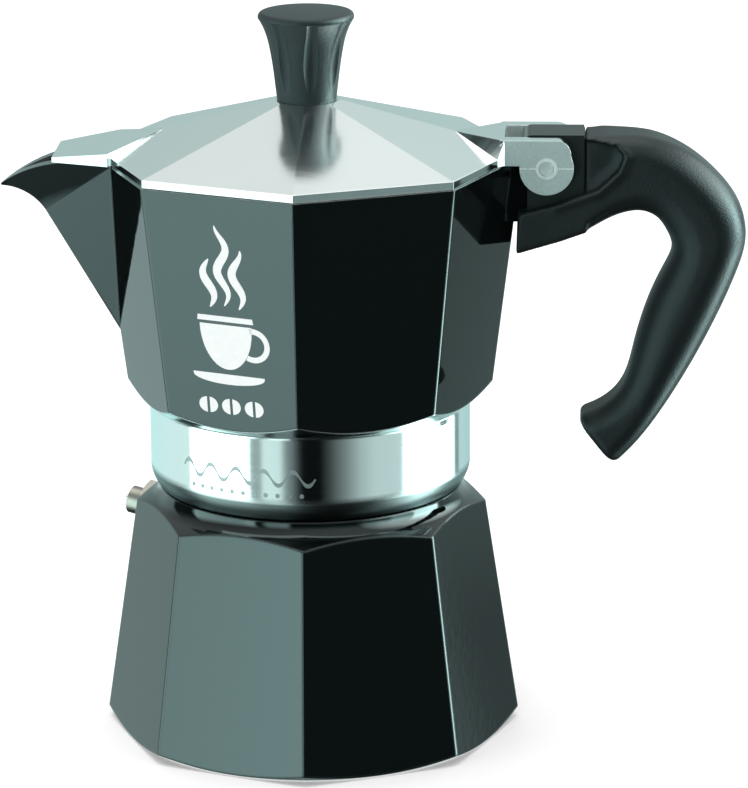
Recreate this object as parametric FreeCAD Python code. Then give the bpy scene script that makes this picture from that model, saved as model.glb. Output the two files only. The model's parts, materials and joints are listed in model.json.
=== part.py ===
"""Stovetop moka pot, three-cup size, as an assembly of separate pieces.

Millimetres. The pot's axis is Z and the base rests on Z = 0. The spout points
along -X and the handle along +X. Both chambers are eight-sided: the spout and
the handle stand on two opposite corners of the upper one.
"""
import FreeCAD, Part
import math
import os

from FreeCAD import Vector

# ---- driving dimensions: boiler ------------------------------------------
corner_count = 8
side_edge_r = 0.8              # rounding of the corners between two sides
neck_r = 31.0                  # threaded neck, without the thread's ridges
neck_h = 11.8                  # neck foot to its rim, where the funnel hangs
neck_wall = 2.75
neck_foot_step = 2.2           # foot of the neck beyond the neck
shoulder_z = 50.2              # top of the boiler's corners
shoulder_slope = 0.49          # rise per millimetre of the turned shoulder
shoulder_rise = 5.0            # from the corners' top to the neck's foot
cove_step = 4.7                # neck to where the shoulder turns upwards
boiler_side_drop = 0.151       # corner radius lost per millimetre of height
boiler_twist = 1.2             # where the thread happens to stop, degrees
base_inset = 0.5               # turned foot inside the flats
base_chamfer_h = 2.2           # height of the turned edge round the base
boiler_floor = 3.2
boiler_wall = 3.2

# ---- driving dimensions: safety valve ------------------------------------
valve_drop = 6.3               # axis below the top of the boiler's corners
valve_side = 157.5             # direction of the side that carries it, degrees
valve_shank_r = 4.0
valve_shank_proud = 1.6        # shank beyond the boiler's inner wall
valve_hex_af = 10.0
valve_hex_t = 3.6
valve_hex_bevel = 0.6
valve_nose_r = 3.1
valve_nose_t = 3.6
valve_washer_r = 6.0
valve_washer_t = 0.8
valve_washer_gap = 0.05
valve_bore_r = 2.3
valve_stem_r = 0.8
valve_stem_proud = 1.5
valve_stem_rounding = 0.35
valve_head_r = 2.0
valve_head_t = 1.0
valve_seat_r = 1.3
valve_seat_t = 1.0
valve_seal_t = 0.5
valve_cap_t = 0.8
valve_cap_gap = 0.15
valve_spring_wire_r = 0.2
valve_spring_turns = 6
valve_spring_gap = 0.05

# ---- driving dimensions: funnel, filter plate and gasket ------------------
funnel_flange_inset = 0.6      # flange inside the neck's outside
funnel_flange_t = 1.0
funnel_wall = 0.8
funnel_gap = 0.8               # clearance between the cup and the neck
funnel_cup_depth = 18.0
funnel_cone_h = 7.0
funnel_seat_w = 2.0            # ledge that carries the basket plate
funnel_stem_r = 4.2
funnel_stem_clearance = 3.3    # from the stem's end to the boiler's floor
basket_plate_t = 0.7
basket_plate_gap = 0.1
gasket_t = 4.2
gasket_w = 5.8
gasket_gap = 0.3
gasket_chamfer = 0.4
plate_lap = 2.5                # filter plate over the gasket
plate_t = 0.8
plate_gap = 0.3
plate_rim_w = 3.5
plate_dish = 1.2
plate_dome_h = 1.0
sieve_hole_r = 0.65
sieve_pitch = 4.4
sieve_margin = 3.0

# ---- driving dimensions: upper chamber ------------------------------------
collar_thread_gap = 1.1        # room for the thread's ridges, both sides
collar_wall = 3.05
collar_foot_gap = 0.4          # collar above the boiler's neck foot
collar_round_h = 4.2
collar_round_in = 1.9
cone_slope = 0.72              # rise per millimetre of the cone under the sides
chamber_step = 1.556           # flats beyond the collar where the cone starts
chamber_side_rise = 0.127      # corner radius gained per millimetre of height
chamber_h = 53.6               # collar's top to the rim
chamber_wall = 2.6
chamber_floor = 2.6
column_base_r = 8.0
column_top_r = 5.6
column_drop = 10.9             # column's top below the rim
column_rounding = 1.6
column_bore_base_r = 5.4
column_bore_top_r = 3.2
column_window_w = 4.4
column_window_h = 7.0
column_cap_t = 1.6

# ---- driving dimensions: spout, from the corner and the rim ----------------
spout_foot_drop = 38.9
spout_bend_reach = 10.76
spout_bend_drop = 12.1
spout_tip_reach = 20.26
spout_tip_drop = 6.7
spout_tip_trim = 0.6           # the point is dressed back by this much
spout_root_w = 13.2            # along each side from the corner, at the rim
spout_lip_reach = 8.66
spout_lip_half_w = 6.9
spout_wall = 1.9

# ---- driving dimensions: handle bracket and hinge --------------------------
bracket_half_w = 5.65
bracket_reach = 13.26          # from the corner to the bracket's end
bracket_rise = 6.0             # above the rim
bracket_depth = 19.0
bracket_root = 2.0             # bracket sunk into the corner
bracket_nose_r = 2.2
hinge_reach = 5.26             # from the corner to the pin
hinge_drop = 0.4               # pin below the rim
hinge_pin_r = 1.5
hinge_pin_fit = 0.02
hinge_run_fit = 0.06
lug_r = 5.8
lug_t = 4.0
lug_gap = 0.4                  # from the bracket's side to a lug
lug_step = 0.3                 # lugs below the bracket's top
lug_nose_r = 3.0
pin_end_proud = 0.25
pin_dimple = 0.5
pin_rim_w = 0.45

# ---- driving dimensions: handle --------------------------------------------
handle_side = 2.95             # handle beyond the bracket's side
handle_gap = 0.15              # from the bracket to the moulding
handle_recess_inset = 0.35     # recess below the bracket's side
grip_end_r = 1.6
cradle_front_gap = 0.8
cradle_end_t = 1.9
cradle_front_t = 6.8
cradle_bend_x = 5.1
cradle_bend_t = 4.0
screw_offset = 0.7             # beyond the hinge pin
screw_shank_r = 2.0
screw_head_r = 3.5
screw_head_t = 1.7
screw_head_rounding = 0.7
screw_seat_t = 2.2             # moulding between bracket and screw head
screw_bite = 7.6
screw_fit = 0.05
screw_head_gap = 0.3
screw_slot_half_w = 0.45
screw_slot_half_l = 2.0
screw_slot_depth = 0.9

# ---- driving dimensions: lid and knob ---------------------------------------
lid_gap = 0.15                 # lid rim above the chamber's rim
lid_set_back = 0.39            # lid corners inside the chamber's corners
lid_rim_h = 1.65
lid_rise = 10.7
lid_top_step = 1.0             # flat top beyond the knob's foot
lid_wall = 1.7
lid_cavity_inset = 3.2
lid_notch_gap = 2.8            # notch ahead of the bracket's step
beak_ridge_inset = 15.15
beak_root_inset = 4.15
beak_root_rise = 1.2
beak_root_lap = 0.605
beak_front_reach = 8.45
beak_front_drop = 0.5
beak_front_lap = 1.4
block_ridge_lead = 0.23
block_back_gap = 3.2           # from a lug's disc to the gusset's top
block_foot_inset = 4.85
block_foot_lap = 1.55
knob_h = 19.6
knob_base_r = 6.4
knob_top_r = 10.35
knob_brow_h = 2.2
knob_brow_w = 1.0
knob_dome_h = 0.35
knob_pole_r = 1.0
knob_flutes = 8
flute_tool_r = 2.5
flute_depth = 0.75
stud_r = 2.0
stud_cover = 9.0               # knob above the stud's end
insert_r = 3.4
insert_t = 8.0
washer_r = 5.2
washer_t = 0.8
nut_af = 7.0
nut_t = 3.0

SIDE_COS = math.cos(math.pi / corner_count)
SIDE_SIN = math.sin(math.pi / corner_count)
UP = Vector(0, 0, 1)


# ---- helpers ---------------------------------------------------------------
def revolve(points):
    """Solid of revolution about Z from (radius, height) points."""
    wire = Part.makePolygon([Vector(r, 0, z) for r, z in points + points[:1]])
    return Part.Face(wire).revolve(Vector(0, 0, 0), UP, 360)


def revolve_edges(edges):
    """Solid of revolution about Z from edges that close in the XZ plane."""
    return Part.Face(Part.Wire(edges)).revolve(Vector(0, 0, 0), UP, 360)


def rz(radius, height):
    """Point of a half section in the XZ plane."""
    return Vector(radius, 0, height)


def line(a, b):
    return Part.makeLine(a, b)


def arc(a, middle, b):
    return Part.Arc(a, middle, b).toShape()


def cylinder(radius, z0, z1, x=0.0, y=0.0):
    return Part.makeCylinder(radius, z1 - z0, Vector(x, y, z0))


def cylinder_y(radius, y0, y1, x, z):
    return Part.makeCylinder(radius, y1 - y0, Vector(x, y0, z), Vector(0, 1, 0))


def box(x0, x1, y0, y1, z0, z1):
    return Part.makeBox(x1 - x0, y1 - y0, z1 - z0, Vector(x0, y0, z0))


def octagon(corner_r, z, turn=0.0, rounding=0.0):
    """Closed eight-sided wire, with an arc at each corner where rounding is given."""
    step = 2 * math.pi / corner_count
    corners = []
    for k in range(corner_count):
        a = math.radians(turn) + step * k
        corners.append(Vector(corner_r * math.cos(a), corner_r * math.sin(a), z))
    if not rounding:
        return Part.makePolygon(corners + corners[:1])
    reach = rounding * math.tan(step / 2)
    pull = rounding * (1 / SIDE_COS - 1)
    edges = []
    for k, corner in enumerate(corners):
        before = (corners[k - 1] - corner).normalize() * reach + corner
        after = (corners[(k + 1) % corner_count] - corner).normalize() * reach + corner
        inward = Vector(-corner.x, -corner.y, 0).normalize() * pull + corner
        following = corners[(k + 1) % corner_count]
        far = (corner - following).normalize() * reach + following
        edges.append(arc(before, inward, after))
        edges.append(line(after, far))
    return Part.Wire(edges)


def octagon_frustum(r0, z0, r1, z1, turn=0.0, rounding=0.0):
    low = octagon(r0, z0, turn, rounding)
    high = octagon(r1, z1, turn, rounding)
    return Part.makeLoft([low, high], True, True)


def hexagon_prism(across_flats, z0, z1):
    r = across_flats / 2 / math.cos(math.pi / 6)
    points = []
    for k in range(7):
        a = math.pi / 3 * k
        points.append(Vector(r * math.cos(a), r * math.sin(a), z0))
    return Part.Face(Part.makePolygon(points)).extrude(Vector(0, 0, z1 - z0))


def face(points):
    return Part.Face(Part.makePolygon(points + points[:1]))


def polyhedron(faces):
    return closed_solid([face(points) for points in faces])


def closed_solid(faces):
    """Solid inside faces that meet edge to edge, with its sides facing outwards."""
    shell = Part.makeShell(faces)
    shell.sewShape()
    solid = Part.makeSolid(Part.Shell(shell.Faces))
    if solid.Volume < 0:
        solid.reverse()
    return solid


def prism_y(points, half_w):
    """Plate in the XZ plane, extruded evenly to both sides of Y = 0."""
    outline = face([Vector(x, -half_w, z) for x, z in points])
    return outline.extrude(Vector(0, 2 * half_w, 0))


def round_edges(shape, radius, wanted):
    """Fillet the edges that wanted() picks."""
    edges = [e for e in shape.Edges if wanted(e)]
    return shape.makeFillet(radius, edges)


def export(name, shape):
    shape.exportStep(os.path.join("parts", name + ".step"))
    centre = shape.BoundBox.Center
    print("%-16s solids %d valid %s volume %9.1f  centre %s" % (
        name, len(shape.Solids), shape.isValid(), shape.Volume,
        tuple(round(c, 1) for c in centre)))


# ---- sizes that follow from others -------------------------------------------
neck_foot_r = neck_r + neck_foot_step
shoulder_cove_r = neck_r + cove_step
shoulder_corner_r = shoulder_cove_r / SIDE_COS
neck_foot_z = shoulder_z + shoulder_rise
rim_z = neck_foot_z + neck_h
neck_bore_r = neck_r - neck_wall


def boiler_corner_r(z):
    return shoulder_corner_r + boiler_side_drop * (shoulder_z - z)


base_foot_r = boiler_corner_r(0) * SIDE_COS - base_inset
valve_z = shoulder_z - valve_drop
funnel_flange_r = neck_r - funnel_flange_inset
cup_r = neck_bore_r - funnel_gap
cup_bore_r = cup_r - funnel_wall
flange_top_z = rim_z + funnel_flange_t
cup_floor_z = flange_top_z - funnel_cup_depth
stem_top_z = cup_floor_z - funnel_cone_h
stem_end_z = boiler_floor + funnel_stem_clearance
collar_bore_r = neck_r + collar_thread_gap
collar_r = collar_bore_r + collar_wall
collar_foot_z = neck_foot_z + collar_foot_gap
gasket_r = collar_bore_r - gasket_gap
gasket_bore_r = gasket_r - gasket_w
gasket_top_z = flange_top_z + gasket_t
plate_r = gasket_bore_r + plate_lap
plate_dome_r = plate_r - plate_rim_w
plate_top_z = gasket_top_z + plate_t
under_floor_z = plate_top_z + plate_dome_h + plate_gap
collar_top_z = under_floor_z
chamber_floor_z = under_floor_z + chamber_floor
chamber_top_z = collar_top_z + chamber_h
chamber_base_r = (collar_r + chamber_step) / SIDE_COS
column_top_z = chamber_top_z - column_drop


def chamber_corner_r(z):
    return chamber_base_r + chamber_side_rise * (z - collar_top_z)


corner_x = chamber_corner_r(chamber_top_z)
spout_foot_z = chamber_top_z - spout_foot_drop
spout_bend_x = -corner_x - spout_bend_reach
spout_bend_z = chamber_top_z - spout_bend_drop
spout_tip_x = -corner_x - spout_tip_reach
spout_tip_z = chamber_top_z - spout_tip_drop
spout_lip_x = -corner_x - spout_lip_reach
bracket_end_x = corner_x + bracket_reach
bracket_step_x = corner_x - lid_gap
bracket_top_z = chamber_top_z + bracket_rise
bracket_under_z = bracket_top_z - bracket_depth
hinge_x = corner_x + hinge_reach
hinge_z = chamber_top_z - hinge_drop
lug_inner_w = bracket_half_w + lug_gap
lug_half_w = lug_inner_w + lug_t
lug_top_z = bracket_top_z - lug_step
handle_seam_x = bracket_end_x + handle_gap
handle_half_w = bracket_half_w + handle_side
handle_seat_half_w = bracket_half_w + handle_gap
handle_recess_half_w = bracket_half_w - handle_recess_inset
screw_x = hinge_x + screw_offset
screw_seat_z = bracket_under_z - screw_seat_t
screw_tip_z = bracket_under_z + screw_bite
lid_rim_r = corner_x - lid_set_back
lid_rim_z = chamber_top_z + lid_gap
lid_rim_top_z = lid_rim_z + lid_rim_h
lid_top_r = knob_base_r + lid_top_step
lid_top_z = lid_rim_top_z + lid_rise
lid_notch_x = bracket_step_x - lid_notch_gap
knob_top_z = lid_top_z + knob_h
stud_tip_z = knob_top_z - stud_cover
beak_ridge_x = beak_ridge_inset - lid_rim_r
beak_root_x = beak_root_inset - lid_rim_r
beak_root_z = lid_rim_top_z + beak_root_rise
beak_root_half_w = spout_root_w * SIDE_COS + beak_root_lap
beak_front_x = -lid_rim_r - beak_front_reach
beak_front_z = lid_rim_top_z - beak_front_drop
beak_front_half_w = spout_lip_half_w + beak_front_lap
roof_run = (lid_rim_r - lid_top_r) / lid_rise
block_ridge_x = lid_rim_r - (lug_top_z - lid_rim_top_z) * roof_run - block_ridge_lead
block_back_x = hinge_x - lug_r - block_back_gap
block_foot_x = lid_rim_r - block_foot_inset
block_foot_half_w = lug_half_w + block_foot_lap


# ---- boiler ---------------------------------------------------------------------
def make_boiler():
    neck_top = rim_z + 1
    sides = octagon_frustum(boiler_corner_r(0), 0, boiler_corner_r(neck_top), neck_top,
                            boiler_twist, side_edge_r)
    base_r = boiler_corner_r(0)
    over = base_r + 2
    cove_z = shoulder_z + shoulder_slope * (shoulder_corner_r - shoulder_cove_r)
    outer_z = shoulder_z - shoulder_slope * (over - shoulder_corner_r)
    cove_mid = rz(neck_foot_r + 0.33 * (shoulder_cove_r - neck_foot_r),
                  cove_z + 0.38 * (neck_foot_z - cove_z))
    chamfer_top = base_chamfer_h * (over - base_foot_r) / (base_r - base_foot_r)
    turned = revolve_edges([
        line(rz(0, 0), rz(base_foot_r, 0)),
        line(rz(base_foot_r, 0), rz(over, chamfer_top)),
        line(rz(over, chamfer_top), rz(over, outer_z)),
        line(rz(over, outer_z), rz(shoulder_cove_r, cove_z)),
        arc(rz(shoulder_cove_r, cove_z), cove_mid, rz(neck_foot_r, neck_foot_z)),
        line(rz(neck_foot_r, neck_foot_z), rz(0, neck_foot_z)),
        line(rz(0, neck_foot_z), rz(0, 0)),
    ])
    body = sides.common(turned)
    neck = cylinder(neck_r, neck_foot_z - 1, rim_z)
    body = body.fuse(neck).removeSplitter()
    wall_r0 = boiler_corner_r(boiler_floor) * SIDE_COS - boiler_wall
    wall_r1 = boiler_corner_r(shoulder_z) * SIDE_COS - boiler_wall
    hollow = revolve([
        (0, boiler_floor),
        (wall_r0, boiler_floor),
        (wall_r1, shoulder_z - 3),
        (neck_bore_r, shoulder_z + 1.5),
        (neck_bore_r, rim_z + 1),
        (0, rim_z + 1),
    ])
    body = body.cut(hollow)
    return body.cut(valve_frame(valve_port()))


# ---- safety valve: built along +Z from the side's surface, then turned outwards ---
def valve_frame(shape):
    """Put a piece that was built round Z on the boiler's side."""
    tilt = math.degrees(math.atan(boiler_side_drop * SIDE_COS))
    shape = shape.copy()
    shape.rotate(Vector(0, 0, 0), Vector(0, 1, 0), 90 - tilt)
    radius = boiler_corner_r(valve_z) * SIDE_COS
    shape.translate(Vector(radius, 0, valve_z))
    shape.rotate(Vector(0, 0, 0), UP, valve_side + boiler_twist)
    return shape


valve_inner_end = -(boiler_wall + valve_shank_proud)
valve_washer_z = valve_washer_gap
valve_hex_z = valve_washer_z + valve_washer_t
valve_nose_z = valve_hex_z + valve_hex_t
valve_tip_z = valve_nose_z + valve_nose_t
valve_seat_z = valve_inner_end + valve_seat_t
valve_head_z = valve_seat_z + valve_seal_t


def valve_port():
    return cylinder(valve_shank_r + screw_fit, -12, 3)


def make_valve_body():
    shank = cylinder(valve_shank_r, valve_inner_end, valve_hex_z)
    body = shank.fuse(hexagon_prism(valve_hex_af, valve_hex_z, valve_nose_z))
    cut_cone = revolve([
        (0, valve_hex_z - 1),
        (valve_hex_af, valve_hex_z - 1),
        (valve_hex_af, valve_hex_z + valve_hex_bevel),
        (valve_hex_af / 2, valve_nose_z),
        (0, valve_nose_z),
    ])
    crown = body.common(cut_cone.fuse(cylinder(valve_shank_r, valve_inner_end, valve_hex_z)))
    body = crown.fuse(cylinder(valve_nose_r, valve_nose_z - 1, valve_tip_z))
    body = body.cut(cylinder(valve_bore_r, valve_seat_z, valve_tip_z + 1))
    return body.cut(cylinder(valve_seat_r, valve_inner_end - 1, valve_tip_z)).removeSplitter()


def make_valve_washer():
    ring = cylinder(valve_washer_r, valve_washer_z, valve_hex_z)
    return ring.cut(cylinder(valve_shank_r + screw_fit, -1, valve_hex_z + 1))


def make_valve_seal():
    return cylinder(valve_head_r, valve_seat_z, valve_head_z)


def make_valve_plunger():
    head = cylinder(valve_head_r, valve_head_z, valve_head_z + valve_head_t)
    stem = cylinder(valve_stem_r, valve_head_z, valve_tip_z + valve_stem_proud)
    return round_edges(head.fuse(stem), valve_stem_rounding, is_stem_end)


def is_stem_end(edge):
    return edge.BoundBox.ZMin > valve_tip_z + 0.5 * valve_stem_proud


def make_valve_cap():
    cap = cylinder(valve_bore_r - hinge_pin_fit, valve_tip_z - valve_cap_t, valve_tip_z)
    return cap.cut(cylinder(valve_stem_r + valve_cap_gap, 0, valve_tip_z + 1))


def make_valve_spring():
    z0 = valve_head_z + valve_head_t + valve_spring_wire_r + valve_spring_gap
    z1 = valve_tip_z - valve_cap_t - valve_spring_wire_r - valve_spring_gap
    coil_r = (valve_stem_r + valve_bore_r) / 2 + valve_spring_gap
    helix = Part.makeHelix((z1 - z0) / valve_spring_turns, z1 - z0, coil_r)
    helix.translate(Vector(0, 0, z0))
    start = Vector(coil_r, 0, z0)
    circle = Part.Wire(Part.makeCircle(valve_spring_wire_r, start, Vector(0, 1, 0)))
    return Part.Wire(helix).makePipeShell([circle], True, True)


# ---- funnel and sieves ---------------------------------------------------------------
def sieve_holes(limit_r, z0, z1):
    """Drills on a triangular grid inside a circle."""
    drills = []
    row_h = sieve_pitch * math.sqrt(3) / 2
    rows = int(limit_r / row_h)
    for row in range(-rows, rows + 1):
        offset = 0.5 * (row % 2)
        columns = int(limit_r / sieve_pitch) + 1
        for column in range(-columns, columns + 1):
            x = (column + offset) * sieve_pitch
            y = row * row_h
            if math.hypot(x, y) < limit_r - sieve_hole_r:
                drills.append(cylinder(sieve_hole_r, z0, z1, x, y))
    return Part.makeCompound(drills)


def make_funnel():
    stem_bore = funnel_stem_r - funnel_wall
    seat_r = cup_bore_r - funnel_seat_w
    return revolve([
        (funnel_flange_r, flange_top_z),
        (cup_bore_r, flange_top_z),
        (cup_bore_r, cup_floor_z + funnel_wall),
        (seat_r, cup_floor_z + funnel_wall),
        (stem_bore, stem_top_z + funnel_wall),
        (stem_bore, stem_end_z),
        (funnel_stem_r, stem_end_z),
        (funnel_stem_r, stem_top_z),
        (seat_r + funnel_wall, cup_floor_z),
        (cup_r, cup_floor_z),
        (cup_r, rim_z),
        (funnel_flange_r, rim_z),
    ])


def make_funnel_plate():
    z0 = cup_floor_z + funnel_wall
    disc = cylinder(cup_bore_r - basket_plate_gap, z0, z0 + basket_plate_t)
    return disc.cut(sieve_holes(cup_bore_r - sieve_margin, z0 - 1, z0 + basket_plate_t + 1))


def make_gasket():
    ring = cylinder(gasket_r, flange_top_z, gasket_top_z)
    ring = ring.cut(cylinder(gasket_bore_r, flange_top_z - 1, gasket_top_z + 1))
    return ring.makeChamfer(gasket_chamfer, [e for e in ring.Edges if e.Curve.TypeId == "Part::GeomCircle"])


def make_filter_plate():
    z0 = gasket_top_z
    dome_top_r = plate_dome_r - plate_dish
    plate = revolve([
        (0, z0 + plate_dome_h),
        (dome_top_r, z0 + plate_dome_h),
        (plate_dome_r, z0),
        (plate_r, z0),
        (plate_r, z0 + plate_t),
        (plate_dome_r, z0 + plate_t),
        (dome_top_r, z0 + plate_t + plate_dome_h),
        (0, z0 + plate_t + plate_dome_h),
    ])
    return plate.cut(sieve_holes(dome_top_r - sieve_hole_r, z0, z0 + 4))


# ---- upper chamber ----------------------------------------------------------------------
def spout_shape(inset, lift):
    """Pointed beak on the corner at -X: flat cheeks below a flared, curved lip.

    inset moves every surface inwards; lift raises the open top so that the
    same shape also cuts the channel.
    """
    foot_x = -chamber_corner_r(spout_foot_z)
    slope = 1.0 - inset * 0.10
    root_x = spout_root_w * SIDE_SIN - corner_x + inset * 0.35
    root_w = spout_root_w * SIDE_COS - inset * 1.25
    into = 9.0
    top = chamber_top_z + lift
    foot = Vector(foot_x + inset * 1.6, 0, spout_foot_z + inset * 1.2)
    bend = Vector(spout_bend_x + inset * 1.75, 0, spout_bend_z + inset * 0.9)
    tip = Vector(spout_tip_x - spout_tip_trim + inset * 1.9 * slope, 0,
                 spout_tip_z + inset * 0.35 + lift)
    ridge_mid = Vector((bend.x + tip.x) / 2 + 0.6, 0, (bend.z + tip.z) / 2 + 1.3 + inset * 0.1)
    faces = []
    roots = []
    rims = []
    for sign in (-1, 1):
        root = Vector(root_x, sign * root_w, top)
        lip = Vector(spout_lip_x + inset, sign * (spout_lip_half_w - inset * 0.95), top - 0.5)
        rim = arc(root, lip, tip)
        ridge = arc(bend, ridge_mid, tip)
        faces.append(face([root, foot, bend]))
        faces.append(Part.makeRuledSurface(ridge, rim))
        roots.append(root)
        rims.append(rim)
    back = [Vector(root_x + into, r.y, r.z) for r in roots]
    back_foot = Vector(foot.x + into, 0, foot.z)
    faces.append(Part.makeRuledSurface(rims[0], rims[1]))
    faces.append(face([roots[0], roots[1], back[1], back[0]]))
    for root, rear in zip(roots, back):
        faces.append(face([root, foot, back_foot]))
        faces.append(face([root, back_foot, rear]))
    faces.append(face([back[0], back[1], back_foot]))
    return closed_solid(faces)


def make_collector_body():
    sides = octagon_frustum(chamber_base_r, collar_top_z, corner_x, chamber_top_z, 0,
                            side_edge_r)
    over_r = corner_x + 3
    turned = revolve([
        (0, collar_top_z - 1),
        (collar_r - 1, collar_top_z - 1),
        (collar_r, collar_top_z),
        (over_r, collar_top_z + cone_slope * (over_r - collar_r)),
        (over_r, chamber_top_z + 1),
        (0, chamber_top_z + 1),
    ])
    body = sides.common(turned)
    collar = revolve_edges([
        line(rz(0, collar_foot_z), rz(collar_r - collar_round_in, collar_foot_z)),
        arc(rz(collar_r - collar_round_in, collar_foot_z),
            rz(collar_r - 0.42 * collar_round_in, collar_foot_z + 0.36 * collar_round_h),
            rz(collar_r, collar_foot_z + collar_round_h)),
        line(rz(collar_r, collar_foot_z + collar_round_h), rz(collar_r, collar_top_z)),
        line(rz(collar_r, collar_top_z), rz(0, collar_top_z)),
        line(rz(0, collar_top_z), rz(0, collar_foot_z)),
    ])
    body = body.fuse(collar)
    beyond = box(spout_tip_x - 5, spout_tip_x, -5, 5, spout_tip_z - 5, chamber_top_z)
    above = box(spout_tip_x - 5, 0, -30, 30, chamber_top_z, chamber_top_z + 5)
    body = body.fuse(spout_shape(0.0, 0.0).cut(beyond).cut(above))
    body = body.fuse(make_bracket())
    wall = chamber_wall / SIDE_COS
    chamber = octagon_frustum(chamber_corner_r(chamber_floor_z) - wall, chamber_floor_z,
                              chamber_corner_r(chamber_top_z + 1) - wall, chamber_top_z + 1)
    body = body.cut(chamber)
    body = body.cut(spout_shape(spout_wall, 3.0))
    body = body.cut(revolve([
        (0, collar_foot_z - 1),
        (collar_bore_r, collar_foot_z - 1),
        (collar_bore_r, gasket_top_z),
        (plate_r + plate_gap, gasket_top_z),
        (plate_r + plate_gap, plate_top_z + 0.1),
        (plate_dome_r + plate_gap, plate_top_z + 0.1),
        (plate_dome_r - plate_dish + plate_gap, under_floor_z),
        (0, under_floor_z),
    ]))
    column = Part.makeCone(column_base_r, column_top_r, column_top_z - chamber_floor_z + 1,
                           Vector(0, 0, chamber_floor_z - 1))
    column = round_edges(column, column_rounding, lambda e: e.BoundBox.ZMin > column_top_z - 1)
    body = body.fuse(column)
    bore_top = column_top_z - column_cap_t
    body = body.cut(Part.makeCone(column_bore_base_r, column_bore_top_r,
                                  bore_top - under_floor_z + 1, Vector(0, 0, under_floor_z - 1)))
    body = body.cut(box(-column_window_w / 2, column_window_w / 2, -column_base_r, column_base_r,
                        bore_top - column_window_h, bore_top))
    body = body.cut(cylinder_y(hinge_pin_r + hinge_pin_fit, -20, 20, hinge_x, hinge_z))
    body = body.cut(cylinder(screw_shank_r + screw_fit, bracket_under_z - 1, screw_tip_z + 1, screw_x))
    return body.removeSplitter()


def make_bracket():
    """Tongue on the corner at +X: carries the hinge pin and the handle."""
    inside_x = chamber_corner_r(bracket_under_z) - bracket_root
    plate = prism_y([
        (inside_x, bracket_under_z),
        (bracket_end_x, bracket_under_z),
        (bracket_end_x, bracket_top_z),
        (bracket_step_x, bracket_top_z),
        (bracket_step_x, chamber_top_z),
        (inside_x, chamber_top_z),
    ], bracket_half_w)

    def is_nose(e):
        centre = e.BoundBox.Center
        along_y = e.BoundBox.YLength > 2 * bracket_half_w - 0.1
        return along_y and abs(centre.x - bracket_step_x) < 0.1 and centre.z > bracket_top_z - 0.1

    return round_edges(plate, bracket_nose_r, is_nose)


# ---- handle ---------------------------------------------------------------------------------
def handle_section(station):
    """Rounded rectangle across the grip, between two points of its side view."""
    (ox, oz), (ix, iz), half_w, rounding = station
    centre = Vector((ox + ix) / 2, 0, (oz + iz) / 2)
    reach = Vector((ox - ix) / 2, 0, (oz - iz) / 2)
    half_h = reach.Length
    up = reach.normalize()

    def at(along, across):
        return centre + up * along + Vector(0, across, 0)

    edges = []
    bulge = rounding * (1 - math.sqrt(0.5))
    corners = ((1, 1), (-1, 1), (-1, -1), (1, -1))
    for k, (su, sv) in enumerate(corners):
        enter = at(su * half_h, sv * (half_w - rounding))
        leave = at(su * (half_h - rounding), sv * half_w)
        middle = at(su * (half_h - bulge), sv * (half_w - bulge))
        if k % 2:
            enter, leave = leave, enter
        edges.append(arc(enter, middle, leave))
        nu, nv = corners[(k + 1) % 4]
        if k % 2:
            following = at(nu * half_h, nv * (half_w - rounding))
        else:
            following = at(nu * (half_h - rounding), nv * half_w)
        edges.append(line(leave, following))
    return Part.Wire(edges)


def beside_bracket(across, down):
    """Point beside the bracket's upper end: outwards from it, and down."""
    return bracket_end_x + across, bracket_top_z - down


def make_grip():
    """Moulded grip, lofted from the seam at the bracket round to its free end.

    Each station has a point on the back, one on the palm side, a half width
    and a corner rounding.
    """
    wide = handle_half_w
    outline = [
        ((handle_gap, 0.5), (handle_gap, 21.0), wide, 3.0),
        ((3.4, 0.2), (3.0, 19.5), wide, 3.6),
        ((6.9, 0.1), (6.0, 18.0), wide, 4.2),
        ((10.8, 0.2), (8.8, 17.1), wide, 4.8),
        ((14.7, 0.7), (11.4, 16.8), wide, 5.4),
        ((18.6, 2.0), (13.5, 17.2), wide, 6.0),
        ((22.4, 4.0), (15.4, 18.2), wide, 6.4),
        ((28.8, 9.3), (17.6, 21.0), wide, 6.8),
        ((33.4, 15.6), (18.8, 23.6), wide, 7.0),
        ((35.0, 22.6), (19.0, 26.2), wide, 7.0),
        ((33.2, 30.3), (17.8, 29.2), wide, 7.0),
        ((28.4, 41.7), (14.6, 35.9), 0.98 * wide, 7.0),
        ((21.5, 54.7), (11.0, 47.7), 0.95 * wide, 6.2),
        ((14.8, 64.9), (7.6, 57.4), 0.92 * wide, 4.8),
        ((10.6, 70.1), (2.6, 61.4), 0.90 * wide, 4.6),
        ((6.9, 73.8), (-1.6, 63.0), 0.88 * wide, 4.2),
    ]
    sections = []
    for back, palm, half_w, rounding in outline:
        sections.append(handle_section(
            (beside_bracket(*back), beside_bracket(*palm), half_w, rounding)))
    grip = Part.makeLoft(sections, True, False)
    end_face = min(grip.Faces, key=lambda f: f.CenterOfMass.z)
    return grip.makeFillet(grip_end_r, end_face.Edges)


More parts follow.
